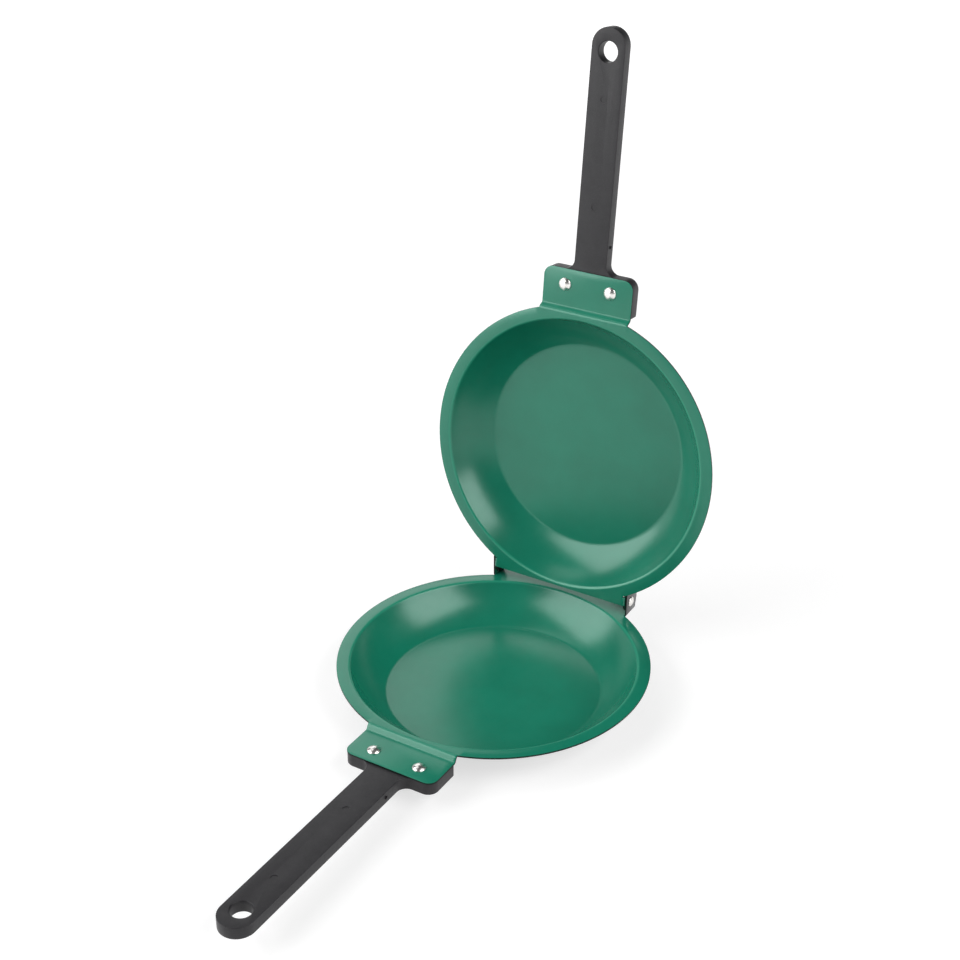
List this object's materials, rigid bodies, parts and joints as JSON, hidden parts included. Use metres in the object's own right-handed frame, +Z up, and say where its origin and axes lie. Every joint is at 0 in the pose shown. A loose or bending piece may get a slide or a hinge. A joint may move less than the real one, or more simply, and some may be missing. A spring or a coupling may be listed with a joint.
{
  "type": "double sided flip pan",
  "caption": "Hinged pair of shallow round frying pans, rim to rim, each with a flat bar handle, for turning pancakes and omelettes by flipping the closed pan.",
  "frame": {"origin": "centre of the lower pan's flat base, on the surface that it stands on", "axes": "+Z up, +X along the hinge pins and across the part's plane of symmetry, handles towards -Y and the hinge at +Y"},
  "size_m": [0.19, 0.3938, 0.3754],
  "materials": {
    "coated_steel_pan": "pressed carbon steel, satin green non-stick coat on the cooking side, black coat outside",
    "moulded_handle": "black phenolic moulding, satin",
    "plated_rivet": "bright nickel-plated steel",
    "plated_washer": "zinc-plated steel"
  },
  "bodies": {
    "lower_half": {"lower_pan": "coated_steel_pan", "lower_handle": "moulded_handle", "lower_handle_rivet_left": "plated_rivet", "lower_handle_rivet_right": "plated_rivet", "lower_handle_washer_left": "plated_washer", "lower_handle_washer_right": "plated_washer", "hinge_rivet_left": "plated_rivet", "hinge_rivet_right": "plated_rivet", "hinge_washer_left": "plated_washer", "hinge_washer_right": "plated_washer"},
    "upper_half": {"upper_pan": "coated_steel_pan", "upper_handle": "moulded_handle", "upper_handle_rivet_left": "plated_rivet", "upper_handle_rivet_right": "plated_rivet", "upper_handle_washer_left": "plated_washer", "upper_handle_washer_right": "plated_washer"}
  },
  "joints": [
    {"name": "pan_hinge", "type": "hinge", "parent": "lower_half", "child": "upper_half", "pos_m": [0, 0.0885, 0.03005], "axis": [1, 0, 0], "range_deg": [0, 97.5]}
  ]
}
